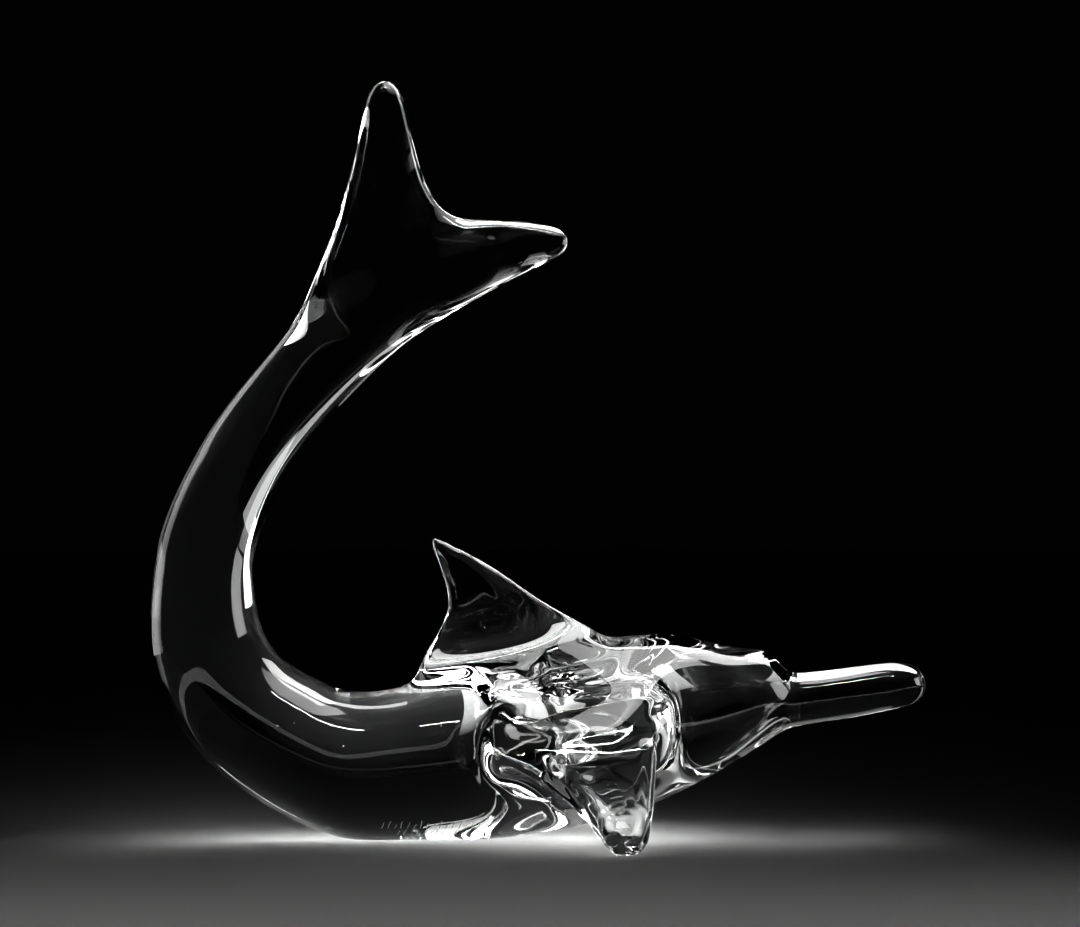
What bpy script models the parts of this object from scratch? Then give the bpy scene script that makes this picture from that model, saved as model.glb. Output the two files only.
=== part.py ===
"""Crystal dolphin: one solid piece of clear glass, worked hot and ground flat underneath.

The dolphin lies on its belly with its beak to +X. Its body curls up behind, so that the tail
stands over the back, and the two flukes spread in the plane of the curl. A dorsal fin leans
back over the body, and a flipper on each side reaches down to the table.

Metres, +Z up. The origin is in the middle of the footprint, at the height of the table.
"""

import bmesh
import bpy
from math import cos, pi, radians, sin
from mathutils import Vector

# Driving sizes, in metres
LENGTH = 0.258              # end of the beak to the back of the curl
FLIPPER_SPREAD = 0.0150     # middle of a flipper's tip, out from the shoulder
FLIPPER_THICKNESS = 0.0085  # a flipper's blade, halfway down
FIN_THICKNESS = 0.0060      # the dorsal fin's blade, halfway up
FLUKE_THICKNESS = 0.0085    # the tail's lobes, halfway out
GROUND_OFF = 0.0011         # depth of glass ground off the belly and the flippers' tips

# The pose and the proportions are shares of the length, in 258ths: millimetres on this piece
SHARE = LENGTH / 258

# Heights are given above the belly as it was before grinding.
SHOULDER_HALF_WIDTH = 27.5

# Sections of the body from the beak back: back point (x, z), belly point (x, z), half width
BEAK_AND_BODY = [
    ((126.3, 57.2), (126.3, 46.4), 5.4),
    ((119.5, 59.0), (119.5, 44.0), 7.7),
    ((104.5, 57.5), (104.0, 40.9), 8.5),
    ((88.5, 55.8), (87.5, 38.2), 9.2),
    ((82.0, 57.7), (80.5, 35.6), 11.0),
    ((75.5, 63.0), (73.0, 30.9), 14.6),
    ((62.5, 64.7), (59.0, 22.5), 19.4),
    ((43.5, 67.6), (40.0, 12.9), 25.0),
    ((22.5, 66.6), (21.0, 7.0), SHOULDER_HALF_WIDTH),
    ((2.0, 62.8), (1.0, 3.2), SHOULDER_HALF_WIDTH),
    ((-17.5, 58.6), (-18.0, 0.4), 26.8),
    ((-41.0, 52.4), (-41.5, 0.0), 25.0),
    ((-63.0, 49.8), (-65.5, 1.0), 22.8),
]

# The curl: an arc about its centre, from straight below it round to the back and up
CURL_CENTRE = (-62.4, 78.3)
CURL_RADIUS = 49.4
CURL_FROM, CURL_TO = 26.0, 100.0
CURL_STEPS = 4
CURL_HALF_HEIGHT = (22.3, 17.2)
CURL_HALF_WIDTH = (21.2, 16.4)

# Sections of the tail up to the fork: inner point, outer point, half width
TAIL = [
    ((-92.2, 101.0), (-122.2, 111.3), 13.9),
    ((-82.4, 123.6), (-109.3, 136.6), 11.2),
    ((-67.4, 142.8), (-95.4, 155.0), 9.0),
    ((-50.6, 159.6), (-83.4, 169.4), 7.6),
    ((-37.6, 169.9), (-76.6, 182.2), 6.2),
]

# Flukes from the fork out: leading point, trailing point, share of the thickness
FORWARD_FLUKE = [
    ((-22.7, 178.2), (-27.8, 204.4), 1.25),
    ((-12.0, 184.6), (-16.2, 206.4), 1.05),
    ((-1.6, 189.9), (-4.6, 205.8), 0.95),
    ((8.0, 195.1), (7.2, 203.4), 0.90),
]
UPPER_FLUKE = [
    ((-69.3, 201.7), (-34.6, 207.8), 1.25),
    ((-63.5, 218.0), (-37.5, 219.6), 1.05),
    ((-59.6, 234.0), (-41.5, 234.0), 0.95),
    ((-55.7, 249.4), (-46.1, 249.4), 0.90),
]

# Dorsal fin from the root up: leading point, trailing point, share of the thickness
FIN = [
    ((16.0, 71.4), (-37.8, 61.4), 1.70),
    ((0.5, 80.3), (-30.4, 75.0), 1.10),
    ((-14.6, 90.5), (-31.4, 88.1), 0.80),
    ((-27.6, 97.7), (-34.6, 97.0), 0.60),
]
FIN_TIP = (-34.2, 100.4)

# Flipper from the shoulder down: front point (x, z), rear point (x, z), share of the spread,
# share of the thickness, and the blade's fall below the level there, in degrees
FLIPPER = [
    ((38.2, 36.7), (-10.0, 27.9), 0.28, 1.45, 30),
    ((37.0, 26.6), (6.0, 20.9), 0.60, 1.05, 50),
    ((36.2, 15.1), (15.2, 12.1), 0.86, 1.00, 60),
    ((35.0, 5.5), (21.0, 4.7), 1.00, 0.95, 66),
]
FLIPPER_TIP = (28.2, 0.0)
BEAK_TIP = (129.1, 51.5)

# Angles of a section's four points on each side, in degrees from the back to the belly
ROUND = (22.5, 67.5, 112.5, 157.5)
FIN_ROOT = (19.0, 66.0, 112.5, 157.5)
SHOULDER = (20.0, 70.0, 113.0, 157.5)
SHOULDER_SECTIONS = range(7, 11)       # the flipper is drawn out between these
FIN_SECTIONS = range(8, 12)            # the fin is drawn up between these

FOUR_POINT_REACH = 1.029   # a smooth ring through four points falls this much short between them
FAIRING_ROUNDS = 24        # how often the cage is pushed out until its surface meets the sections
SMOOTHNESS = 2             # subdivision levels
TABLE_SIZE = 2 * LENGTH    # the block that stands for the grinding wheel

CLEAR_CRYSTAL = (0.93, 0.95, 0.95, 1.0)
CRYSTAL_ROUGHNESS = 0.02
CRYSTAL_INDEX = 1.54


def in_plane(point):
    """A point of the dolphin's own plane, from shares (x, z) to metres above the table."""
    return Vector((point[0], 0, point[1])) * SHARE - Vector((0, 0, GROUND_OFF))


def section(bm, near, far, across, half_width, angles=ROUND):
    """An oval ring of eight vertices between two points.

    It starts beside the near point, runs down the side that across points to, and comes
    back up the other side.
    """
    middle = (near + far) / 2
    reach = (near - far) / 2
    turns = [radians(angle) for angle in angles] + [-radians(angle) for angle in reversed(angles)]
    return [bm.verts.new(middle + reach * cos(turn) + across * (half_width * sin(turn)))
            for turn in turns]


def lobe_section(bm, near, far, half_thickness):
    """An oval ring of four vertices between two points of the dolphin's plane."""
    middle = (near + far) / 2
    reach = (near - far) / 2 * FOUR_POINT_REACH
    depth = Vector((0, half_thickness * FOUR_POINT_REACH, 0))
    turns = (pi / 4, 3 * pi / 4, -3 * pi / 4, -pi / 4)
    return [bm.verts.new(middle + reach * cos(turn) + depth * sin(turn)) for turn in turns]


def join(bm, ring, following):
    """Quads between two rings of as many vertices."""
    for i in range(len(ring)):
        j = (i + 1) % len(ring)
        bm.faces.new((ring[i], ring[j], following[j], following[i]))


def close(bm, ring, tip):
    """Four quads from a ring of eight vertices to its tip."""
    middle = bm.verts.new(tip)
    for i in range(0, len(ring), 2):
        bm.faces.new((ring[i], ring[i + 1], ring[(i + 2) % len(ring)], middle))


def draw_out(bm, root, rings):
    """The skin of a limb, from its root loop through its rings."""
    for ring, following in zip([root] + rings, rings):
        join(bm, ring, following)


def body_sections(bm):
    """The rings from the beak to the last one before the fork."""
    side = Vector((0, 1, 0))
    rings = []
    for i, (back, belly, half_width) in enumerate(BEAK_AND_BODY):
        angles = ROUND
        if i in FIN_SECTIONS:
            angles = FIN_ROOT
        if i in SHOULDER_SECTIONS:
            angles = SHOULDER
        rings.append(section(bm, in_plane(back), in_plane(belly), side, half_width * SHARE, angles))
    for i in range(CURL_STEPS):
        share = i / (CURL_STEPS - 1)
        turn = radians(CURL_FROM + share * (CURL_TO - CURL_FROM))
        outward = Vector((-sin(turn), 0, -cos(turn)))
        middle = in_plane(CURL_CENTRE) + outward * CURL_RADIUS * SHARE
        start, end = CURL_HALF_HEIGHT
        reach = outward * (start + share * (end - start)) * SHARE
        start, end = CURL_HALF_WIDTH
        half_width = (start + share * (end - start)) * SHARE
        rings.append(section(bm, middle - reach, middle + reach, side, half_width))
    for inner, outer, half_width in TAIL:
        rings.append(section(bm, in_plane(inner), in_plane(outer), side, half_width * SHARE))
    return rings


def add_flukes(bm, last_ring):
    """The fork, and the two lobes drawn out of it."""
    lobes = []
    for table in (FORWARD_FLUKE, UPPER_FLUKE):
        lobes.append([lobe_section(bm, in_plane(leading), in_plane(trailing),
                                   share * FLUKE_THICKNESS / 2)
                      for leading, trailing, share in table])
    forward, upper = lobes[0][0], lobes[1][0]
    fork = [forward[0], forward[1], upper[1], upper[0], upper[3], upper[2], forward[2], forward[3]]
    join(bm, last_ring, fork)
    bm.faces.new((forward[1], upper[1], upper[2], forward[2]))
    for lobe in lobes:
        draw_out(bm, lobe[0], lobe[1:])
        bm.faces.new(lobe[-1])


def root_loop(rings, places, first, second):
    """The eight vertices round a row of faces between two columns of some rings."""
    chosen = [rings[place] for place in places]
    return [ring[first] for ring in chosen] + [ring[second] for ring in reversed(chosen)]


def add_fin(bm, rings):
    """The dorsal fin, drawn up from the faces along the back."""
    side = Vector((0, 1, 0))
    levels = [section(bm, in_plane(leading), in_plane(trailing), side, share * FIN_THICKNESS / 2)
              for leading, trailing, share in FIN]
    draw_out(bm, root_loop(rings, FIN_SECTIONS, 0, 7), levels)
    close(bm, levels[-1], in_plane(FIN_TIP))


def add_flipper(bm, rings, side, upper, lower):
    """A flipper, drawn out and down from the faces along one side."""
    outwards = Vector((0, side, 0))
    shoulder = outwards * SHOULDER_HALF_WIDTH * SHARE
    levels = []
    for front, rear, spread, thickness, slant in FLIPPER:
        facing = outwards * sin(radians(slant)) + Vector((0, 0, cos(radians(slant))))
        out = shoulder + outwards * spread * FLIPPER_SPREAD
        levels.append(section(bm, in_plane(front) + out, in_plane(rear) + out, facing,
                              thickness * FLIPPER_THICKNESS / 2))
    draw_out(bm, root_loop(rings, SHOULDER_SECTIONS, upper, lower), levels)
    close(bm, levels[-1], in_plane(FLIPPER_TIP) + shoulder + outwards * FLIPPER_SPREAD)


def open_strip(rings, places, first, second):
    """Whether a face of the skin between two columns is left open for a limb."""
    return {(place, first, second) for place in places[:-1]}


def skin(bm, rings):
    """The faces between the body's rings, open where the fin and the flippers leave it."""
    left_open = (open_strip(rings, FIN_SECTIONS, 7, 0)
                 | open_strip(rings, SHOULDER_SECTIONS, 1, 2)
                 | open_strip(rings, SHOULDER_SECTIONS, 5, 6))
    for place, (ring, following) in enumerate(zip(rings, rings[1:])):
        for i in range(len(ring)):
            j = (i + 1) % len(ring)
            if (place, i, j) not in left_open:
                bm.faces.new((ring[i], ring[j], following[j], following[i]))


def surface_point(vert):
    """Where a vertex of the cage comes to lie on the smooth surface."""
    count = len(vert.link_edges)
    beside = Vector()
    for edge in vert.link_edges:
        beside += edge.other_vert(vert).co
    opposite = Vector()
    for face in vert.link_faces:
        corners = list(face.verts)
        opposite += corners[(corners.index(vert) + 2) % 4].co
    return (count * count * vert.co + 4 * beside + opposite) / (count * (count + 5))


def push_out(bm):
    """Move the cage outwards until its smooth surface runs through the given sections."""
    wanted = [vert.co.copy() for vert in bm.verts]
    for _ in range(FAIRING_ROUNDS):
        moves = [want - surface_point(vert) for vert, want in zip(bm.verts, wanted)]
        for vert, move in zip(bm.verts, moves):
            vert.co += move


def dolphin_cage():
    """The coarse cage of quads that the smooth dolphin is drawn from."""
    bm = bmesh.new()
    rings = body_sections(bm)
    skin(bm, rings)
    close(bm, rings[0], in_plane(BEAK_TIP))
    add_flukes(bm, rings[-1])
    add_fin(bm, rings)
    add_flipper(bm, rings, 1, 1, 2)
    add_flipper(bm, rings, -1, 6, 5)
    bmesh.ops.recalc_face_normals(bm, faces=bm.faces)
    push_out(bm)
    mesh = bpy.data.meshes.new("crystal_dolphin")
    bm.to_mesh(mesh)
    bm.free()
    mesh.shade_smooth()
    return mesh


def crystal_material():
    """Clear, colourless lead crystal."""
    material = bpy.data.materials.new("clear_crystal")
    material.use_nodes = True
    shader = material.node_tree.nodes["Principled BSDF"]
    shader.inputs["Base Color"].default_value = CLEAR_CRYSTAL
    shader.inputs["Roughness"].default_value = CRYSTAL_ROUGHNESS
    shader.inputs["Metallic"].default_value = 0.0
    shader.inputs["IOR"].default_value = CRYSTAL_INDEX
    shader.inputs["Transmission Weight"].default_value = 1.0
    return material


def clear_scene():
    """An empty scene with one collection for the dolphin and one for its cutter."""
    for obj in list(bpy.data.objects):
        bpy.data.objects.remove(obj, do_unlink=True)
    collections = []
    for name in ("crystal_dolphin", "cutters"):
        collection = bpy.data.collections.new(name)
        bpy.context.scene.collection.children.link(collection)
        collections.append(collection)
    return collections


def grinding_block(collection):
    """The block below the table's height that takes off the belly and the flippers' tips."""
    bpy.ops.mesh.primitive_cube_add(size=TABLE_SIZE, location=(0, 0, -TABLE_SIZE / 2))
    block = bpy.context.active_object
    block.name = "grinding_block"
    block.display_type = "WIRE"
    block.hide_render = True
    for owner in list(block.users_collection):
        owner.objects.unlink(block)
    collection.objects.link(block)
    return block


def centre_footprint(dolphin):
    """Move the finished dolphin so that its footprint's middle is at the origin."""
    finished = dolphin.evaluated_get(bpy.context.evaluated_depsgraph_get())
    corners = [Vector(corner) for corner in finished.bound_box]
    dolphin.location.x = -(corners[0].x + corners[6].x) / 2


def build():
    parts, cutters = clear_scene()
    dolphin = bpy.data.objects.new("crystal_dolphin", dolphin_cage())
    parts.objects.link(dolphin)
    dolphin.data.materials.append(crystal_material())

    smooth = dolphin.modifiers.new("smooth glass", "SUBSURF")
    smooth.levels = SMOOTHNESS
    smooth.render_levels = SMOOTHNESS

    ground = dolphin.modifiers.new("ground underside", "BOOLEAN")
    ground.operation = "DIFFERENCE"
    ground.solver = "EXACT"
    ground.object = grinding_block(cutters)
    centre_footprint(dolphin)


build()
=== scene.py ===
# %% [markdown]
# A dolphin worked by hand from one gather of clear lead crystal. It lies on its belly, its
# body curls up behind, and the two flukes spread above its back. There is one piece of
# glass, so there is one main mesh here. Glass has no paint or grain to look at: what the
# eye reads is the shape itself, through the light that it bends. So the surface has to be
# much finer and smoother than the solid of the frame, and most of this lesson is about it.

import bmesh
import bpy
import numpy as np
from math import cos, pi, radians, sin
from mathutils import Matrix, Vector
from mathutils.bvhtree import BVHTree


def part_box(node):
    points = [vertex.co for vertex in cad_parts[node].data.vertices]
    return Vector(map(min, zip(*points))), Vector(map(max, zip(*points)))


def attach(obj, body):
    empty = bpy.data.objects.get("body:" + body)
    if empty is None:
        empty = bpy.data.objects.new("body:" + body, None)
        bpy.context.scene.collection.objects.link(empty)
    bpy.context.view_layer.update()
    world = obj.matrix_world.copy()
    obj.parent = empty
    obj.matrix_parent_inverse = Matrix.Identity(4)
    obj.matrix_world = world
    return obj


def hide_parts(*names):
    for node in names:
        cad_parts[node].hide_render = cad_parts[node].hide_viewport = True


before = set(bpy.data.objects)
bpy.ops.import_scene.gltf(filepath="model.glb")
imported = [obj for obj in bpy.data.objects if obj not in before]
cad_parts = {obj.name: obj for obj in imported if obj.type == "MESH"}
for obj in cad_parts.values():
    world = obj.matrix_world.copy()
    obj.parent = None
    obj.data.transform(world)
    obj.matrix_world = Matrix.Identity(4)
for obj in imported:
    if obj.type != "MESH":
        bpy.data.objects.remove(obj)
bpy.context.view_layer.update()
low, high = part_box("crystal_dolphin")
print("dolphin in the frame, mm:", [round(1000 * size, 1) for size in high - low])

# %% [markdown]
# All places below are shares of the dolphin's length, in 258ths. On this dolphin a share is
# one millimetre, so the numbers read as millimetres, and they would follow the frame if it
# grew. Heights are counted from the belly as it was before grinding.

# %% Measure in shares of the length
SHARES_LONG = 258
share = (high.x - low.x) / SHARES_LONG
GROUND_OFF = 1.1


def in_plane(point):
    """A point (x, z) of the dolphin's own upright plane, in metres."""
    return Vector((point[0], 0, point[1] - GROUND_OFF)) * share


print("one share is", round(share * 1000, 4), "mm")

# %% [markdown]
# The body could be sculpted, or skinned over a curve. A coarse cage of ovals, smoothed by
# subdivision, suits glass better: it has few points, so it can't carry small bumps, and
# the smooth surface bends light in long clean lines. Each oval has eight points. It runs
# from the back down the left side, and from the belly up the right side.

# %% One oval section
ROUND = (22.5, 67.5, 112.5, 157.5)
cage = bmesh.new()


def oval(near, far, half_width, angles=ROUND, across=Vector((0, 1, 0))):
    """Eight cage points round the line from near to far."""
    middle = (near + far) / 2
    reach = (near - far) / 2
    turns = [radians(angle) for angle in angles]
    turns += [-turn for turn in reversed(turns)]
    return [cage.verts.new(middle + reach * cos(turn) + across * (half_width * sin(turn)))
            for turn in turns]


# %% [markdown]
# The beak is a thin rod of glass that was pulled out of the head, so it meets the brow in
# a step. Behind it the head swells to the shoulders, which are the widest part. Each row
# gives a point on the back, a point on the belly and half the width there.

# %% Beak, head and trunk
BEAK_AND_TRUNK = [
    ((126.3, 57.2), (126.3, 46.4), 5.4),
    ((119.5, 59.0), (119.5, 44.0), 7.7),
    ((104.5, 57.5), (104.0, 40.9), 8.5),
    ((88.5, 55.8), (87.5, 38.2), 9.2),
    ((82.0, 57.7), (80.5, 35.6), 11.0),
    ((75.5, 63.0), (73.0, 30.9), 14.6),
    ((62.5, 64.7), (59.0, 22.5), 19.4),
    ((43.5, 67.6), (40.0, 12.9), 25.0),
    ((22.5, 66.6), (21.0, 7.0), 27.5),
    ((2.0, 62.8), (1.0, 3.2), 27.5),
    ((-17.5, 58.6), (-18.0, 0.4), 26.8),
    ((-41.0, 52.4), (-41.5, 0.0), 25.0),
    ((-63.0, 49.8), (-65.5, 1.0), 22.8),
]
FIN_SECTIONS = range(8, 12)
SHOULDER_SECTIONS = range(7, 11)
FIN_ROOT = (19.0, 66.0, 112.5, 157.5)
SHOULDER = (20.0, 70.0, 113.0, 157.5)

sections = []
for place, (back, belly, half_width) in enumerate(BEAK_AND_TRUNK):
    angles = ROUND
    if place in FIN_SECTIONS:
        angles = FIN_ROOT
    if place in SHOULDER_SECTIONS:
        angles = SHOULDER
    sections.append(oval(in_plane(back), in_plane(belly), half_width * share, angles))
print("trunk:", len(sections), "sections")

# %% [markdown]
# The maker curled the body round in one sweep while the glass was soft. That stretch is an
# arc, so a loop places its sections about one centre, and the body grows thinner along it.

# %% The curl
CURL_CENTRE = (-62.4, 78.3)
CURL_RADIUS = 49.4
CURL_FROM, CURL_TO = 26.0, 100.0
CURL_STEPS = 4
CURL_HALF_HEIGHT = (22.3, 17.2)
CURL_HALF_WIDTH = (21.2, 16.4)


def along(ends, part):
    """The value a part of the way from the first end to the second."""
    return ends[0] + part * (ends[1] - ends[0])


for step in range(CURL_STEPS):
    part = step / (CURL_STEPS - 1)
    turn = radians(along((CURL_FROM, CURL_TO), part))
    outward = Vector((-sin(turn), 0, -cos(turn)))
    middle = in_plane(CURL_CENTRE) + outward * CURL_RADIUS * share
    reach = outward * along(CURL_HALF_HEIGHT, part) * share
    sections.append(oval(middle - reach, middle + reach, along(CURL_HALF_WIDTH, part) * share))
print("trunk and curl:", len(sections), "sections")

# %% [markdown]
# Above the curl the body leans forward again and flattens towards the fork. A formula could
# go on from the arc, but here the width falls faster than the height, because the tail was
# pressed flat for its flukes. So its rows are listed one by one. They give the inner point,
# the outer point and half the width.

# %% The tail up to the fork
TAIL = [
    ((-92.2, 101.0), (-122.2, 111.3), 13.9),
    ((-82.4, 123.6), (-109.3, 136.6), 11.2),
    ((-67.4, 142.8), (-95.4, 155.0), 9.0),
    ((-50.6, 159.6), (-83.4, 169.4), 7.6),
    ((-37.6, 169.9), (-76.6, 182.2), 6.2),
]

for inner, outer, half_width in TAIL:
    sections.append(oval(in_plane(inner), in_plane(outer), half_width * share))
print("beak to fork:", len(sections), "sections")

# %% [markdown]
# A skin of four-sided faces joins each section to the next. It stays open along the back,
# where the fin is drawn up, and at the shoulders, where the flippers are drawn out. A fin
# could be joined on afterwards with a Boolean, but that leaves a seam of crooked faces, and
# glass shows every one. The beak's end is closed by four faces to one point.

# %% Skin between the sections
BEAK_TIP = (129.1, 51.5)
FIN_GAP = (7, 0)
LEFT_GAP = (1, 2)
RIGHT_GAP = (5, 6)


def join(ring, following, left_open=()):
    """Faces between two rings, except in the columns that stay open."""
    for i in range(len(ring)):
        j = (i + 1) % len(ring)
        if (i, j) not in left_open:
            cage.faces.new((ring[i], ring[j], following[j], following[i]))


def close(ring, tip):
    """Four faces from a ring of eight points to its tip."""
    middle = cage.verts.new(tip)
    for i in range(0, len(ring), 2):
        cage.faces.new((ring[i], ring[i + 1], ring[(i + 2) % len(ring)], middle))


for place, (ring, following) in enumerate(zip(sections, sections[1:])):
    left_open = []
    if place in FIN_SECTIONS[:-1]:
        left_open.append(FIN_GAP)
    if place in SHOULDER_SECTIONS[:-1]:
        left_open += [LEFT_GAP, RIGHT_GAP]
    join(ring, following, left_open)
close(sections[0], in_plane(BEAK_TIP))
print("skin:", len(cage.faces), "faces")

# %% [markdown]
# The tail was slit with shears and its halves pulled apart into two flat lobes, one forward
# over the back and one up. So the last section splits in two, and one face bridges the
# notch, which keeps the fork one web of glass. Each lobe is a row of small rings with four
# points, ending in a blunt face: a flat shape needs no more.

# %% Flukes
FLUKE_HALF_THICKNESS = 4.25
FOUR_POINT_REACH = 1.029    # a smooth ring through four points falls this much short between
FORWARD_FLUKE = [
    ((-22.7, 178.2), (-27.8, 204.4), 1.25),
    ((-12.0, 184.6), (-16.2, 206.4), 1.05),
    ((-1.6, 189.9), (-4.6, 205.8), 0.95),
    ((8.0, 195.1), (7.2, 203.4), 0.90),
]
UPPER_FLUKE = [
    ((-69.3, 201.7), (-34.6, 207.8), 1.25),
    ((-63.5, 218.0), (-37.5, 219.6), 1.05),
    ((-59.6, 234.0), (-41.5, 234.0), 0.95),
    ((-55.7, 249.4), (-46.1, 249.4), 0.90),
]


def lobe_ring(leading, trailing, thickness):
    """Four cage points round the line from the leading to the trailing edge."""
    middle = (in_plane(leading) + in_plane(trailing)) / 2
    reach = (in_plane(leading) - in_plane(trailing)) / 2 * FOUR_POINT_REACH
    half = thickness * FLUKE_HALF_THICKNESS * share * FOUR_POINT_REACH
    turns = (pi / 4, 3 * pi / 4, -3 * pi / 4, -pi / 4)
    return [cage.verts.new(middle + reach * cos(turn) + Vector((0, half * sin(turn), 0)))
            for turn in turns]


forward, upper = [[lobe_ring(*row) for row in table] for table in (FORWARD_FLUKE, UPPER_FLUKE)]
first, second = forward[0], upper[0]
fork = [first[0], first[1], second[1], second[0], second[3], second[2], first[2], first[3]]
join(sections[-1], fork)
cage.faces.new((first[1], second[1], second[2], first[2]))
for lobe in (forward, upper):
    for ring, following in zip(lobe, lobe[1:]):
        join(ring, following)
    cage.faces.new(lobe[-1])
print("with the flukes:", len(cage.faces), "faces")

# %% [markdown]
# The back fin was pinched and pulled up from the hot back. Its first ring is the opening
# that the skin left along the back, so the fin grows out of the body with no seam.

# %% Back fin
FIN_HALF_THICKNESS = 3.0
FIN = [
    ((16.0, 71.4), (-37.8, 61.4), 1.70),
    ((0.5, 80.3), (-30.4, 75.0), 1.10),
    ((-14.6, 90.5), (-31.4, 88.1), 0.80),
    ((-27.6, 97.7), (-34.6, 97.0), 0.60),
]
FIN_TIP = (-34.2, 100.4)


def opening(places, first, second):
    """The eight points round an opening of the skin, between two columns."""
    chosen = [sections[place] for place in places]
    return [ring[first] for ring in chosen] + [ring[second] for ring in reversed(chosen)]


rings = [opening(FIN_SECTIONS, 0, 7)]
for leading, trailing, thickness in FIN:
    half = thickness * FIN_HALF_THICKNESS * share
    rings.append(oval(in_plane(leading), in_plane(trailing), half))
for ring, following in zip(rings, rings[1:]):
    join(ring, following)
close(rings[-1], in_plane(FIN_TIP))
print("with the back fin:", len(cage.faces), "faces")

# %% [markdown]
# Each flipper was pulled out of the shoulder and bent down until its tip stood on the
# table. It grows from its opening as the fin does, but its ovals turn with the slope of the
# blade. A mirrored copy could serve for the other side. One function that is told the side
# does it within the same cage. The rows give the front and rear point, the share of the
# reach, the share of the thickness, and how steeply the blade falls there, in degrees.

# %% Flippers
SHOULDER_HALF_WIDTH = 27.5
FLIPPER_REACH = 15.0
FLIPPER_HALF_THICKNESS = 4.25
FLIPPER = [
    ((38.2, 36.7), (-10.0, 27.9), 0.28, 1.45, 30),
    ((37.0, 26.6), (6.0, 20.9), 0.60, 1.05, 50),
    ((36.2, 15.1), (15.2, 12.1), 0.86, 1.00, 60),
    ((35.0, 5.5), (21.0, 4.7), 1.00, 0.95, 66),
]
FLIPPER_TIP = (28.2, 0.0)


def draw_flipper(side, first, second):
    """One flipper, from the shoulder's opening down to its tip."""
    outward = Vector((0, side, 0))
    rings = [opening(SHOULDER_SECTIONS, first, second)]
    for front, rear, reach, thickness, fall in FLIPPER:
        out = outward * (SHOULDER_HALF_WIDTH + reach * FLIPPER_REACH) * share
        facing = outward * sin(radians(fall)) + Vector((0, 0, cos(radians(fall))))
        half = thickness * FLIPPER_HALF_THICKNESS * share
        rings.append(oval(in_plane(front) + out, in_plane(rear) + out, half, ROUND, facing))
    for ring, following in zip(rings, rings[1:]):
        join(ring, following)
    tip_out = outward * (SHOULDER_HALF_WIDTH + FLIPPER_REACH) * share
    close(rings[-1], in_plane(FLIPPER_TIP) + tip_out)


draw_flipper(1, 1, 2)
draw_flipper(-1, 6, 5)
print("whole cage:", len(cage.verts), "points,", len(cage.faces), "faces")

# %% [markdown]
# Subdivision pulls a surface inside its cage, so the dolphin would come out too thin. The
# smooth surface's place over each cage point is known exactly, from the point and its
# neighbours. Moving each cage point by what is missing, a few times over, brings the
# smooth surface onto the sections as they were drawn.

# %% Push the cage out until its surface fits
FAIRING_ROUNDS = 24


def surface_point(vert):
    """Where a cage point comes to lie on the smooth surface."""
    count = len(vert.link_edges)
    beside = sum((edge.other_vert(vert).co for edge in vert.link_edges), Vector())
    opposite = Vector()
    for face in vert.link_faces:
        corners = list(face.verts)
        opposite += corners[(corners.index(vert) + 2) % 4].co
    return (count * count * vert.co + 4 * beside + opposite) / (count * (count + 5))


bmesh.ops.recalc_face_normals(cage, faces=cage.faces)
wanted = [vert.co.copy() for vert in cage.verts]
for _ in range(FAIRING_ROUNDS):
    moves = [want - surface_point(vert) for vert, want in zip(cage.verts, wanted)]
    for vert, move in zip(cage.verts, moves):
        vert.co += move
misses = [(want - surface_point(vert)).length for vert, want in zip(cage.verts, wanted)]
print("largest miss left, mm:", round(max(misses) * 1000, 4))

# %% [markdown]
# Four levels of subdivision give facets about a millimetre wide. With smooth shading that
# is fine enough for refraction, and it stays within the size that a piece may have.

# %% Subdivide
SMOOTH_LEVELS = 4


def subdivided(bm, levels):
    """The smooth mesh of a cage, as its own data."""
    coarse = bpy.data.meshes.new("cage")
    bm.to_mesh(coarse)
    holder = bpy.data.objects.new("cage", coarse)
    bpy.context.scene.collection.objects.link(holder)
    smooth = holder.modifiers.new("smooth", "SUBSURF")
    smooth.levels = levels
    smooth.render_levels = levels
    ready = holder.evaluated_get(bpy.context.evaluated_depsgraph_get())
    fine = bpy.data.meshes.new_from_object(ready)
    bpy.data.objects.remove(holder)
    bpy.data.meshes.remove(coarse)
    return fine


glass = subdivided(cage, SMOOTH_LEVELS)
cage.free()
print("smooth glass:", len(glass.vertices), "points")

# %% [markdown]
# The tools leave their marks in hot glass: the palm of a flipper is pressed hollow, its
# end is crimped, and the jacks nip the curl. Each mark here moves the points of the mesh
# along their normals. That is like sculpting, but it gives the same result on every run.

# %% Helpers for working the surface
def read(mesh, what):
    """Points or normals of a mesh as rows of three."""
    values = np.empty(len(mesh.vertices) * 3, np.float32)
    mesh.vertices.foreach_get(what, values)
    return values.reshape(-1, 3).astype(float)


def write(mesh, points):
    """Give the mesh new points."""
    mesh.vertices.foreach_set("co", points.astype(np.float32).ravel())
    mesh.update()


def ease(values, start, end):
    """0 before start and 1 after end, with a smooth turn between them."""
    part = np.clip((values - start) / (end - start), 0, 1)
    return part * part * (3 - 2 * part)


def bell(distance, width):
    """1 on the mark, and fading away over its width."""
    return np.exp(-(distance / width) ** 2)


points = read(glass, "co") / share
points[:, 2] += GROUND_OFF
normals = read(glass, "normal")
side_view = points[:, [0, 2]]
half_out = np.abs(points[:, 1])
outward = normals[:, 1] * np.sign(points[:, 1])
worked = np.zeros(len(points))
print("marks are made in shares, over", len(points), "points")

# %% [markdown]
# A mark lies either round a spot or along a line, as seen from the side. A sculpting brush
# would also need each of its strokes stored. A distance in the side view is a plain formula,
# so a mark is one row of numbers, and it can lie on both sides of the dolphin alike.

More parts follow.
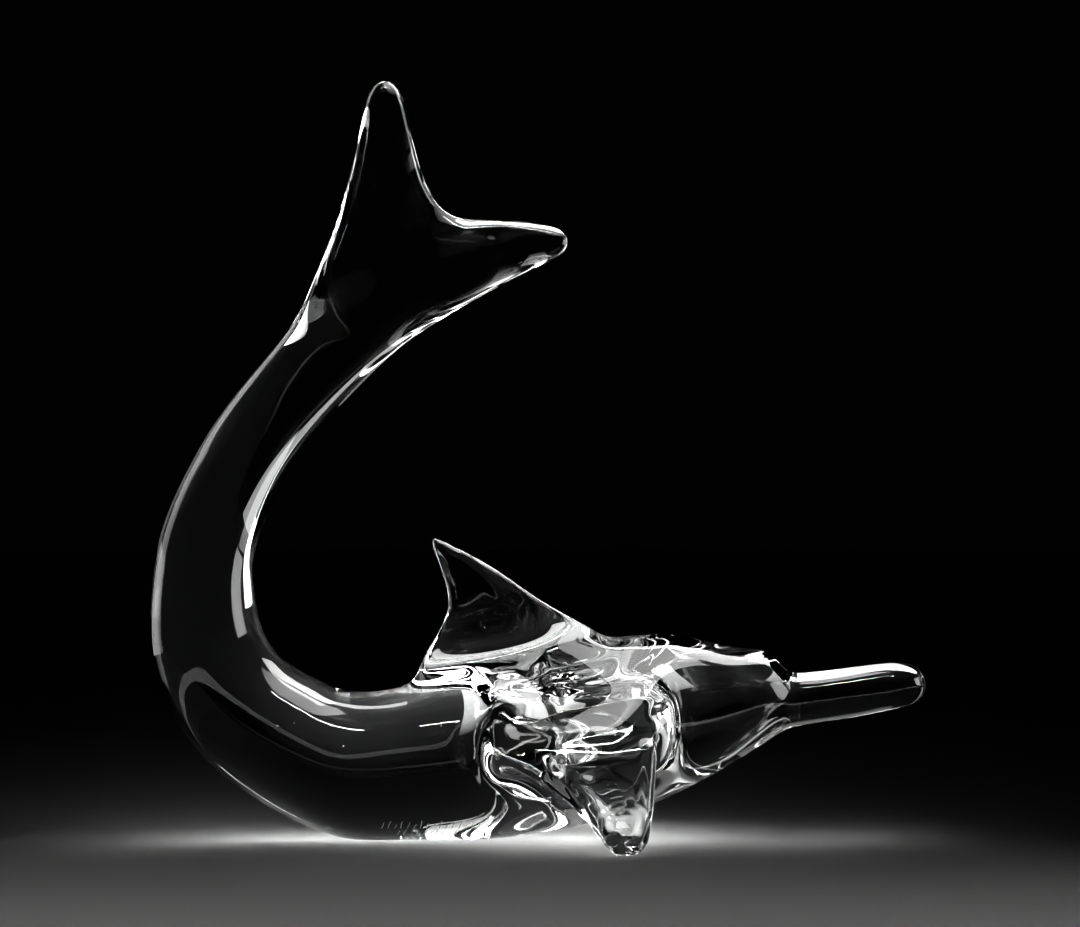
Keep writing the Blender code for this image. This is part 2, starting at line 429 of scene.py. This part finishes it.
# %% Marks round a spot and along a line
def from_spot(centre, radii, lean=0):
    """Distance from a spot in the side view, in its own radii."""
    turn = radians(lean)
    away = side_view - np.array(centre)
    lengthwise = away[:, 0] * cos(turn) + away[:, 1] * sin(turn)
    crosswise = away[:, 1] * cos(turn) - away[:, 0] * sin(turn)
    return np.hypot(lengthwise / radii[0], crosswise / radii[1])


def from_line(path):
    """Distance from a line of straight runs in the side view, in shares."""
    nearest = np.full(len(side_view), np.inf)
    for start, end in zip(path, path[1:]):
        start = np.array(start)
        run = np.array(end) - start
        part = np.clip((side_view - start) @ run / (run @ run), 0, 1)
        away = side_view - start - part[:, None] * run
        nearest = np.minimum(nearest, np.hypot(away[:, 0], away[:, 1]))
    return nearest


# %% [markdown]
# The flippers' outer faces are pressed hollow between two rolled rims, one in front and one
# behind. Across the end run three crimps from the jacks. The palm is a shape with corners,
# and its wall rises by the distance inside it, so it stays soft like a pressed hollow.

# %% Flipper palms and crimps
PALM_CORNERS = [(31.0, 9.0), (31.4, 24.0), (21.0, 29.5), (9.0, 24.5), (24.0, 9.0)]
PALM_DEPTH, PALM_WALL = 1.9, 4.0
FRONT_RIM = [(36.0, 34.0), (34.2, 15.0), (30.5, 6.5)]
REAR_RIM = [(7.0, 28.5), (15.5, 18.5), (23.5, 7.5)]
ROLL_HEIGHT, ROLL_WIDTH = 1.4, 2.1
CRIMP_CENTRE = (27.0, 11.5)
CRIMP_RADII = (3.0, 5.4, 7.8)
CRIMP_WIDTH = 0.8
CRIMP_DEPTH = 0.22
BLADE_FROM_MIDDLE = (29.0, 33.0)
BLADE_FROM_REAR = (-4.0, 6.0)
SLOPE_COUNTS = 0.6
OUTER_TURN = (0.25, 0.8)


def inside(corners):
    """How far inside a shape with these corners the points lie, in shares; 0 outside."""
    depth = np.full(len(side_view), np.inf)
    for start, end in zip(corners, corners[1:] + corners[:1]):
        run = np.array(end) - np.array(start)
        away = side_view - np.array(start)
        depth = np.minimum(depth, (run[0] * away[:, 1] - run[1] * away[:, 0]) / np.hypot(*run))
    return np.maximum(depth, 0)


on_flipper = ease(half_out, *BLADE_FROM_MIDDLE) * ease(points[:, 0], *BLADE_FROM_REAR)
outer_face = ease(outward + SLOPE_COUNTS * normals[:, 2], *OUTER_TURN) * on_flipper
worked -= PALM_DEPTH * ease(inside(PALM_CORNERS), 0, PALM_WALL) * outer_face
for path in (FRONT_RIM, REAR_RIM):
    worked += ROLL_HEIGHT * bell(from_line(path), ROLL_WIDTH) * on_flipper
from_end = np.hypot(*(side_view - np.array(CRIMP_CENTRE)).T)
for radius in CRIMP_RADII:
    worked -= CRIMP_DEPTH * bell(from_end - radius, CRIMP_WIDTH) * outer_face
print("deepest on the flippers:", round(worked.min(), 2))

# %% [markdown]
# Where a flipper leaves the shoulder the skin folded: a soft ridge runs forward and down
# from the rear of the root, with a hollow above it. More rows in the cage could hold such a
# fold, but they would stiffen the whole flank, and two marks along lines leave it smooth.

# %% Shoulder folds
FOLD_LINE = [(-11.0, 32.0), (-2.0, 28.5), (7.0, 21.5), (14.0, 13.5)]
FOLD_HEIGHT, FOLD_WIDTH = 0.9, 2.2
FOLD_HOLLOW = [(-6.0, 40.0), (8.0, 36.5), (24.0, 37.5), (37.0, 41.0)]
HOLLOW_DEPTH, HOLLOW_WIDTH = 1.3, 5.0
SHOULDER_FROM_MIDDLE = (20.0, 26.0)
SHOULDER_TURN = (0.0, 0.5)

at_shoulder = ease(half_out, *SHOULDER_FROM_MIDDLE) * ease(outward, *SHOULDER_TURN)
worked += FOLD_HEIGHT * bell(from_line(FOLD_LINE), FOLD_WIDTH) * at_shoulder
worked -= HOLLOW_DEPTH * bell(from_line(FOLD_HOLLOW), HOLLOW_WIDTH) * at_shoulder
print("highest at the shoulders:", round(worked.max(), 2))

# %% [markdown]
# The maker pinched the back fin flat, but not down to its root. A step is left where the
# thin blade meets the thick foot, along a line that turns back towards the rear edge. It is
# a third of a millimetre high, so it is a mark like the others and not a row of the cage.

# %% Step at the foot of the back fin
FIN_STEP = [(-25.5, 95.0), (-14.0, 84.0), (-10.5, 78.3),
            (-19.0, 74.0), (-26.0, 69.5), (-29.0, 65.5)]
STEP_HEIGHT, STEP_WIDTH = 0.32, 2.2
FIN_REAR, FIN_FRONT = -45.0, 20.0
FIN_HALF_ROOM = 12.0
FIN_RISES = (62.0, 68.0)
BLADE_TURN = (0.2, 0.7)

near_fin = (half_out < FIN_HALF_ROOM) * (points[:, 0] > FIN_REAR) * (points[:, 0] < FIN_FRONT)
on_fin = near_fin * ease(points[:, 2], *FIN_RISES)
step = STEP_HEIGHT * bell(from_line(FIN_STEP), STEP_WIDTH)
worked += step * on_fin * ease(outward, *BLADE_TURN)
print("points on the back fin:", int((on_fin > 0.5).sum()))

# %% [markdown]
# Small marks elsewhere: a press mark on the forward fluke, the nip of the jacks low on the
# outside of the curl, a slight break in the curl's outer line, and bumps over the brow. A
# finger would hardly feel them, but each one bends the lines of light beside it.

# %% Small tool marks
PRESS_MARK, PRESS_RADII, PRESS_LEAN, PRESS_DEPTH = (-13.5, 201.5), (6.0, 2.2), 3, 0.5
JACK_MARK, JACK_RADII, JACK_LEAN, JACK_DEPTH = (-118.0, 67.0), (3.5, 6.0), 15, 0.35
CURL_BREAK, BREAK_RADII, BREAK_LEAN, BREAK_DEPTH = (-112.0, 128.5), (1.8, 5.0), -35, 0.25
BROW_BUMPS = [(31.0, 66.5), (43.0, 67.8), (54.0, 66.0)]
BUMP_RADII, BUMP_HEIGHT = (5.0, 5.0), 0.25
NEAR_TURN = (0.0, 0.3)
TOP_TURN = (0.2, 0.8)

worked -= PRESS_DEPTH * bell(from_spot(PRESS_MARK, PRESS_RADII, PRESS_LEAN), 1) * (outward > 0)
near_face = ease(-normals[:, 1], *NEAR_TURN)
worked -= JACK_DEPTH * bell(from_spot(JACK_MARK, JACK_RADII, JACK_LEAN), 1) * near_face
worked -= BREAK_DEPTH * bell(from_spot(CURL_BREAK, BREAK_RADII, BREAK_LEAN), 1) * near_face
facing_up = ease(normals[:, 2], *TOP_TURN)
for bump in BROW_BUMPS:
    worked += BUMP_HEIGHT * bell(from_spot(bump, BUMP_RADII), 1) * facing_up
print("tool marks span", round(worked.min(), 2), "to", round(worked.max(), 2))

# %% [markdown]
# A surface made by hand is never quite fair. A few long waves of a tenth of a millimetre
# make the light lines swim a little, as they do in the real thing. Noise would do as well,
# but plain waves have no small grain that would look like dirt in the glass.

# %% Slight waves of the hand
WAVES = [
    ((0.10, 0.04, 0.06), 0.3, 0.05),
    ((-0.05, 0.08, 0.12), 1.7, 0.04),
    ((0.15, -0.07, 0.02), 4.1, 0.02),
]

for direction, phase, height in WAVES:
    worked += height * np.sin(points @ np.array(direction) + phase)
points += worked[:, None] * normals
points[:, 2] -= GROUND_OFF
write(glass, points * share)
print("waves of", sum(height for _, _, height in WAVES), "shares at most")

# %% [markdown]
# Cold work comes last: the belly and the two flipper tips are ground flat on one plane, so
# the dolphin stands still. Cutting the mesh at the table's height and filling the cuts
# does what the wheel did, and the flats get a finish of their own.

# %% Grind the underside
CUT_TOLERANCE = 1e-7
GROUND_FINISH = 1


def grind(mesh):
    """Cut the mesh off at the table and close it with flat faces."""
    bm = bmesh.new()
    bm.from_mesh(mesh)
    everything = bm.verts[:] + bm.edges[:] + bm.faces[:]
    cut = bmesh.ops.bisect_plane(bm, geom=everything, dist=CUT_TOLERANCE,
                                 plane_no=(0, 0, 1), clear_inner=True)
    rim = [part for part in cut["geom_cut"] if isinstance(part, bmesh.types.BMEdge)]
    for edge in rim:
        edge.smooth = False
    flats = bmesh.ops.edgeloop_fill(bm, edges=rim, mat_nr=GROUND_FINISH)["faces"]
    area = sum(face.calc_area() for face in flats)
    bmesh.ops.recalc_face_normals(bm, faces=bm.faces)
    for face in bm.faces:
        face.smooth = face.material_index != GROUND_FINISH
    bm.to_mesh(mesh)
    bm.free()
    return len(flats), area


flats, area = grind(glass)
print(flats, "ground flats,", round(area * 1e6), "square mm")

# %% [markdown]
# The finer surface bulges a hair past the facets of the frame's solid. Fitting its box to
# the box in the frame keeps every size as the frame says.

# %% Fit the glass to the frame
points = read(glass, "co")
lowest, highest = points.min(0), points.max(0)
stretch = np.array(high - low) / (highest - lowest)
write(glass, (points - lowest) * stretch + np.array(low))
dolphin = bpy.data.objects.new("dolphin_glass", glass)
bpy.context.scene.collection.objects.link(dolphin)
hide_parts("crystal_dolphin")
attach(dolphin, "root")
print("stretched by", [round(value, 5) for value in stretch])

# %% [markdown]
# Lead crystal is clear and almost colourless, with a high index, so it bends light hard
# and its rims light up. One Principled shader with full transmission says all of this in
# plain values. A very weak bump stands for the cords, faint streaks in hand-made glass.

# %% Crystal
CRYSTAL_COLOUR = (0.975, 0.985, 0.985, 1)
CRYSTAL_INDEX = 1.54
CORD_SCALE = 55
CORD_STRENGTH = 0.1
CORD_HEIGHT = 0.0004
NOISE_DETAIL = 2


def new_material(name):
    """A material, its Principled shader, and its nodes and links."""
    material = bpy.data.materials.new(name)
    material.use_nodes = True
    tree = material.node_tree
    return material, tree.nodes["Principled BSDF"], tree.nodes, tree.links


def surface_noise(nodes, links, scale):
    """A noise that is fixed to the object, whatever it is turned to."""
    place = nodes.new("ShaderNodeTexCoord")
    noise = nodes.new("ShaderNodeTexNoise")
    noise.inputs["Scale"].default_value = scale
    noise.inputs["Detail"].default_value = NOISE_DETAIL
    links.new(place.outputs["Object"], noise.inputs["Vector"])
    return noise


def add_bump(nodes, links, shader, height, strength, distance):
    """Tilt the surface by a noise without moving it."""
    bump = nodes.new("ShaderNodeBump")
    bump.inputs["Strength"].default_value = strength
    bump.inputs["Distance"].default_value = distance
    links.new(height, bump.inputs["Height"])
    links.new(bump.outputs["Normal"], shader.inputs["Normal"])


crystal, shader, nodes, links = new_material("clear_crystal")
shader.inputs["Base Color"].default_value = CRYSTAL_COLOUR
shader.inputs["Roughness"].default_value = 0.0
shader.inputs["IOR"].default_value = CRYSTAL_INDEX
shader.inputs["Transmission Weight"].default_value = 1.0
cords = surface_noise(nodes, links, CORD_SCALE)
add_bump(nodes, links, shader, cords.outputs["Fac"], CORD_STRENGTH, CORD_HEIGHT)
glass.materials.append(crystal)
print("crystal with index", CRYSTAL_INDEX)

# %% [markdown]
# The ground flats were smoothed but not polished, so they are satin. Their roughness
# varies a little with a noise, as a hand-held piece never wears evenly on the wheel.

# %% Ground glass
GROUND_ROUGHNESS = (0.18, 0.32)
GRIND_SCALE = 900


def rough_by_noise(nodes, links, shader, scale, limits):
    """A roughness that a noise varies between two limits."""
    grain = surface_noise(nodes, links, scale)
    spread = nodes.new("ShaderNodeMapRange")
    spread.inputs["To Min"].default_value, spread.inputs["To Max"].default_value = limits
    links.new(grain.outputs["Fac"], spread.inputs["Value"])
    links.new(spread.outputs["Result"], shader.inputs["Roughness"])


ground_glass, shader, nodes, links = new_material("ground_glass")
shader.inputs["Base Color"].default_value = CRYSTAL_COLOUR
shader.inputs["IOR"].default_value = CRYSTAL_INDEX
shader.inputs["Transmission Weight"].default_value = 1.0
rough_by_noise(nodes, links, shader, GRIND_SCALE, GROUND_ROUGHNESS)
glass.materials.append(ground_glass)
print("ground glass, roughness", GROUND_ROUGHNESS)

# %% [markdown]
# A few seeds, tiny bubbles of gas, are sealed in the glass and sparkle. Each is a small
# ball whose normals point inwards, to the gas. That tells the shader that the light leaves
# the glass there, which a dark dot painted on the surface could never do. The heights of
# the seeds are counted from the table.

# %% Seeds
SEEDS = [
    ((-17.5, -0.8, 69.6), 0.30),
    ((-63.4, -8.0, 30.0), 0.32),
    ((-30.8, 5.0, 32.3), 0.26),
    ((-85.7, -4.0, 36.6), 0.28),
    ((-81.7, 6.0, 35.0), 0.22),
]
SEED_LEVELS = 2


def added_piece(name, bm, material):
    """A finished mesh as its own piece that rides on the dolphin."""
    mesh = bpy.data.meshes.new(name)
    bm.to_mesh(mesh)
    bm.free()
    for face in mesh.polygons:
        face.use_smooth = True
    mesh.materials.append(material)
    piece = bpy.data.objects.new(name, mesh)
    bpy.context.scene.collection.objects.link(piece)
    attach(piece, "root")
    return piece


bubbles = bmesh.new()
for centre, radius in SEEDS:
    spot = Matrix.Translation(Vector(centre) * share)
    bmesh.ops.create_icosphere(bubbles, subdivisions=SEED_LEVELS, radius=radius * share,
                               matrix=spot)
bmesh.ops.reverse_faces(bubbles, faces=bubbles.faces)
seeds = added_piece("seeds", bubbles, crystal)
print(len(SEEDS), "seeds,", len(seeds.data.polygons), "faces")

# %% [markdown]
# Low on the side, makers of such pieces engrave a line by hand with a fine diamond burr.
# Here its place holds rows of short strokes that say nothing. Each stroke is a thin ridge,
# half sunk in the glass. Its path is laid on the surface by casting rays at the dolphin
# from the side, because the curved flank has no simple formula. Waves of unlike rhythm vary
# the strokes as a hand would. Each row gives its height over the table, where it starts,
# how many strokes it has and how tall they are.

# %% Rows of engraved strokes
ROWS = [(6.0, -51.0, 17, 2.1), (3.3, -46.0, 13, 1.5)]
STROKE_SPACING = 2.1
STROKE_POINTS = 6
STROKE_HALF_WIDTH, STROKE_HEIGHT = 0.13, 0.07
STROKE_SIDES = 6
TALLER, TALLER_RHYTHM = 0.35, 2.3
LEAN, MORE_LEAN, LEAN_RHYTHM = 0.9, 0.25, 1.7
BOW, BOW_RHYTHM = 0.12, 3.1

flank = BVHTree.FromPolygons([vert.co for vert in glass.vertices],
                             [list(face.vertices) for face in glass.polygons])


def on_flank(x, z):
    """The point and the normal of the near flank at a place in the side view."""
    start = Vector((x * share, 2 * low.y, z * share))
    place, normal, _, _ = flank.ray_cast(start, Vector((0, 1, 0)))
    return place, normal


def stroke_path(x, middle, index, height):
    """A short stroke in the side view, nearly straight and leaning forward."""
    tall = height * (1 + TALLER * sin(TALLER_RHYTHM * index))
    lean = LEAN + MORE_LEAN * sin(LEAN_RHYTHM * index)
    bow = BOW * cos(BOW_RHYTHM * index)
    for step in range(STROKE_POINTS):
        part = step / (STROKE_POINTS - 1)
        yield x + lean * part + bow * sin(pi * part), middle - height / 2 + tall * part


def add_stroke(bm, path):
    """A thin flattened tube along a path, half sunk in the flank."""
    seats = [on_flank(x, z) for x, z in path]
    rings = []
    for step, (place, normal) in enumerate(seats):
        before = seats[max(step - 1, 0)][0]
        after = seats[min(step + 1, len(seats) - 1)][0]
        aside = (after - before).cross(normal).normalized() * STROKE_HALF_WIDTH * share
        raised = normal * STROKE_HEIGHT * share
        turns = [2 * pi * side / STROKE_SIDES for side in range(STROKE_SIDES)]
        rings.append([bm.verts.new(place + aside * cos(turn) + raised * sin(turn))
                      for turn in turns])
    for ring, following in zip(rings, rings[1:]):
        for i in range(STROKE_SIDES):
            j = (i + 1) % STROKE_SIDES
            bm.faces.new((ring[i], ring[j], following[j], following[i]))
    bm.faces.new(reversed(rings[0]))
    bm.faces.new(rings[-1])


marks = bmesh.new()
for middle, start, count, height in ROWS:
    for index in range(count):
        add_stroke(marks, stroke_path(start + STROKE_SPACING * index, middle, index, height))
bmesh.ops.recalc_face_normals(marks, faces=marks.faces)
print("strokes:", sum(count for _, _, count, _ in ROWS), "with", len(marks.faces), "faces")

# %% [markdown]
# A burr leaves the glass white and rough, so the strokes scatter the light. The finish is
# half clear and half white, and its roughness changes along the strokes with a fine noise.

# %% Engraved glass
ENGRAVED_COLOUR = (0.93, 0.94, 0.94, 1)
ENGRAVED_CLEAR = 0.5
ENGRAVED_ROUGHNESS = (0.35, 0.6)
BURR_SCALE = 2500

engraved_glass, shader, nodes, links = new_material("engraved_glass")
shader.inputs["Base Color"].default_value = ENGRAVED_COLOUR
shader.inputs["IOR"].default_value = CRYSTAL_INDEX
shader.inputs["Transmission Weight"].default_value = ENGRAVED_CLEAR
rough_by_noise(nodes, links, shader, BURR_SCALE, ENGRAVED_ROUGHNESS)
strokes = added_piece("engraved_strokes", marks, engraved_glass)
print("engraved glass on", strokes.name)

# %% [markdown]
# The floor is plain and pale. A wide disc is enough, since its edge is out of sight, and a
# faint mottle keeps it from being one flat colour. It lies a hair under the dolphin, so that
# the two surfaces never share a plane, which would speckle the render.

# %% Floor
FLOOR_RADIUS = 3.0
FLOOR_CORNERS = 96
FLOOR_DROP = 0.0002
FLOOR_ROUGHNESS = 0.6
MOTTLE_SCALE = 6
FLOOR_COLOURS = ((0.60, 0.60, 0.60, 1), (0.66, 0.66, 0.655, 1))

bpy.ops.mesh.primitive_circle_add(vertices=FLOOR_CORNERS, radius=FLOOR_RADIUS,
                                  fill_type="NGON", location=(0, 0, -FLOOR_DROP))
floor = bpy.context.active_object
floor.name = "floor"
pale, shader, nodes, links = new_material("pale_floor")
mottle = surface_noise(nodes, links, MOTTLE_SCALE)
ramp = nodes.new("ShaderNodeValToRGB")
ramp.color_ramp.elements[0].color = FLOOR_COLOURS[0]
ramp.color_ramp.elements[1].color = FLOOR_COLOURS[1]
links.new(mottle.outputs["Fac"], ramp.inputs["Fac"])
links.new(ramp.outputs["Color"], shader.inputs["Base Color"])
shader.inputs["Roughness"].default_value = FLOOR_ROUGHNESS
shader.inputs["Specular IOR Level"].default_value = 0.0
floor.data.materials.append(pale)
print("floor of radius", FLOOR_RADIUS, "m")

# %% [markdown]
# Clear glass is lit from its sides, in front of a dark room. Its middle shows the dark
# behind it, and its rims bend in the light of soft boxes at the left, at the right and
# overhead. A bright floor would turn the whole glass grey instead, so these boxes don't
# shine on it: that is one switch of a light, its visibility to diffuse surfaces. Each row
# gives how high the box stands, in degrees from the right, its size and its power in watts.

# %% Soft boxes for the rims
RIM_AIM = (0, 0, 0.12)
RIM_SPREAD = 100
RIM_BOXES = [
    ("right_box", 2, (0.30, 0.60), 0.10),
    ("upper_right_box", 62, (0.40, 0.60), 3.0),
    ("left_box", 145, (0.40, 1.35), 1.8),
]
RIM_DISTANCE, RIM_BACK = 0.85, 0.20


def soft_box(name, place, aim, size, power, spread, lights_floor=False):
    """An area light that shines from a place towards a point and isn't seen itself."""
    data = bpy.data.lights.new(name, "AREA")
    data.shape = "RECTANGLE"
    data.size, data.size_y = size
    data.energy = power
    data.spread = radians(spread)
    light = bpy.data.objects.new(name, data)
    light.location = place
    light.rotation_euler = (Vector(aim) - Vector(place)).to_track_quat("-Z", "Y").to_euler()
    light.visible_camera = False
    light.visible_diffuse = lights_floor
    bpy.context.scene.collection.objects.link(light)


for name, angle, size, power in RIM_BOXES:
    turn = radians(angle)
    place = (RIM_DISTANCE * cos(turn), RIM_BACK, RIM_AIM[2] + RIM_DISTANCE * sin(turn))
    soft_box(name, place, RIM_AIM, size, power, RIM_SPREAD)
print(len(RIM_BOXES), "boxes for the rims")

# %% [markdown]
# Light from further back is bent less, so it comes out further from the edge. A weak box at
# the upper left, behind the bright one, gives the soft grey band inside the curl's rim.

# %% Soft box for the grey band
GLOW_PLACE, GLOW_SIZE, GLOW_POWER = (-0.55, 0.46, 0.55), (0.30, 1.20), 0.20

soft_box("left_glow", GLOW_PLACE, RIM_AIM, GLOW_SIZE, GLOW_POWER, RIM_SPREAD)
print("glow box at", GLOW_PLACE)

# %% [markdown]
# An edge that faces up bends the view down behind the dolphin, where the far boxes don't
# reach. Low boxes close by, and bright cards that lie just behind the beak, behind the
# shoulder and under the forward fluke, give those edges their light. A small box behind at
# the left does the same for the thin rim of the upper fluke. Each row gives the place, the
# point that the light faces, the size and the power. A card faces straight up.

# %% Low boxes and cards for the upper edges
LOW_SPREAD = 150
LOW_BOXES = [
    ("low_right_box", (0.22, 0.22, 0.07), (-0.10, 0.0, 0.17), (0.22, 0.13), 0.010),
    ("low_left_box", (-0.42, 0.12, 0.08), (-0.03, 0.0, 0.20), (0.24, 0.15), 0.190),
    ("fluke_box", (-0.30, 0.24, 0.17), (-0.05, 0.0, 0.22), (0.12, 0.12), 0.014),
    ("fluke_card", (-0.018, 0.070, 0.130), (-0.018, 0.070, 1.0), (0.070, 0.110), 0.070),
    ("beak_card", (0.108, 0.040, 0.003), (0.108, 0.040, 1.0), (0.050, 0.060), 0.010),
    ("shoulder_card", (0.004, 0.080, 0.003), (0.004, 0.080, 1.0), (0.036, 0.090), 0.010),
]

for name, place, aim, size, power in LOW_BOXES:
    soft_box(name, place, aim, size, power, LOW_SPREAD)
print(len(LOW_BOXES), "low boxes and cards")

# %% [markdown]
# Glass also mirrors a little at its surface. A long narrow box in front and overhead draws
# a fine line along the back. One at the right shows as a soft patch on the head and inside
# the curl, one overhead and behind whitens the upper edges, and a small one hangs over the
# flipper, whose palm faces up to it. A faint strip low in front draws the grey arc that
# runs from the curl along the flank.

# %% Soft boxes for the highlights
MIRRORED_AIM = (0, 0, 0.05)
MIRRORED_BOXES = [
    ("strip_box", (0.0, -0.45, 0.75), (0.50, 0.03), 0.6),
    ("front_box", (0.75, -0.15, 0.18), (0.40, 0.40), 1.2),
    ("top_box", (0.0, 0.22, 0.95), (0.60, 0.12), 0.8),
    ("palm_box", (0.035, -0.045, 0.32), (0.16, 0.16), 0.20),
    ("low_strip", (0.10, -0.17, 0.012), (0.90, 0.012), 0.020),
]

for name, place, size, power in MIRRORED_BOXES:
    soft_box(name, place, MIRRORED_AIM, size, power, RIM_SPREAD)
print(len(MIRRORED_BOXES), "boxes for the highlights")

# %% [markdown]
# One box overhead lights the floor in front of the dolphin and nothing behind it, where the
# glass would show it. The room itself gives almost no light.

# %% Light on the floor
POOL_PLACE, POOL_AIM = (0.0, -0.20, 0.60), (0, -0.20, 0)
POOL_SIZE, POOL_POWER, POOL_SPREAD = (0.90, 0.06), 0.16, 37
ROOM_LIGHT = (0.002, 0.002, 0.0023, 1)

soft_box("pool_box", POOL_PLACE, POOL_AIM, POOL_SIZE, POOL_POWER, POOL_SPREAD, lights_floor=True)
world = bpy.data.worlds.new("dark_room")
world.use_nodes = True
world.node_tree.nodes["Background"].inputs["Color"].default_value = ROOM_LIGHT
bpy.context.scene.world = world
print("floor lit in front, room at", ROOM_LIGHT[0])

# %% [markdown]
# The default view softens whites and lifts blacks, which makes crystal look like plastic.
# The Standard view keeps both, and a gamma below one deepens the darks a little more.

# %% View of blacks and whites
CONTRAST = 0.75

bpy.context.scene.view_settings.view_transform = "Standard"
bpy.context.scene.view_settings.gamma = CONTRAST
print("standard view, gamma", CONTRAST)

# %% [markdown]
# The camera looks level and square onto the dolphin's side, from a little under a metre. A
# constraint could aim it, but for a level view a quarter turn is all that it needs. The
# long lens keeps the near flipper from looking too large.

# %% Camera
EYE = (0.0008, -0.9, 0.1243)
FILM_WIDTH = 36
FOCAL_LENGTH = 90.1

view = bpy.data.cameras.new("camera")
view.sensor_width = FILM_WIDTH
view.lens = FOCAL_LENGTH
camera = bpy.data.objects.new("camera", view)
camera.location = EYE
camera.rotation_euler = (pi / 2, 0, 0)
bpy.context.scene.collection.objects.link(camera)
bpy.context.scene.camera = camera
print("camera at", EYE)
